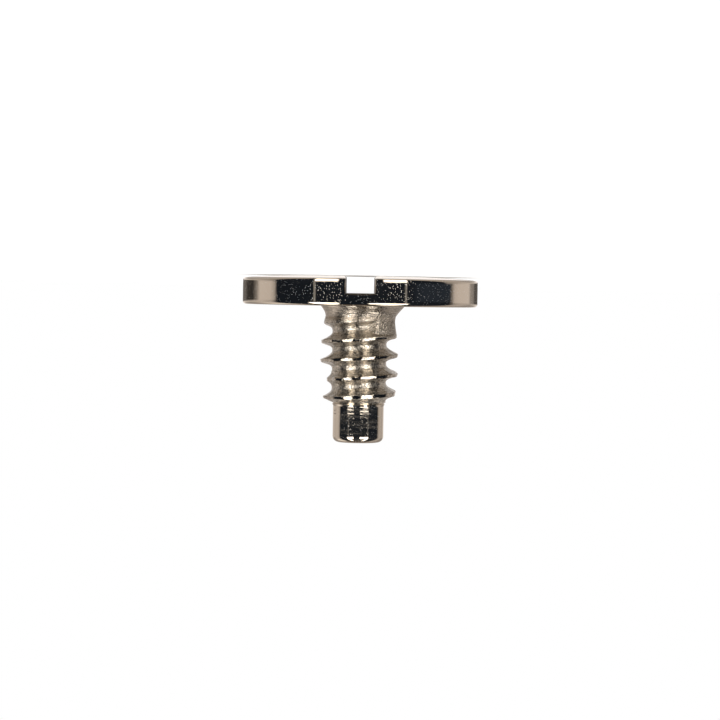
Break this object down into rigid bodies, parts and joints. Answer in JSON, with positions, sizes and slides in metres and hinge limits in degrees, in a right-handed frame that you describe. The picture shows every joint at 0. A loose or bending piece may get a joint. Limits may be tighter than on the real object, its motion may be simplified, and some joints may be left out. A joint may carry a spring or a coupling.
{
  "type": "ratchet wheel screw",
  "caption": "Watch ratchet wheel screw: wide thin slotted head, flared neck, coarse right-hand thread and a plain rounded pilot; clamps a ratchet wheel to its barrel arbor.",
  "frame": {"origin": "centre of the flat land on the head's crown, which is the face the screw stands on", "axes": "+Z along the screw's axis from the crown to the pilot's tip, Y along the driver slot, X across the slot"},
  "size_m": [0.003, 0.003, 0.0022],
  "materials": {
    "screw": "polished"
  },
  "bodies": {
    "root": {"screw": "screw"}
  },
  "joints": []
}
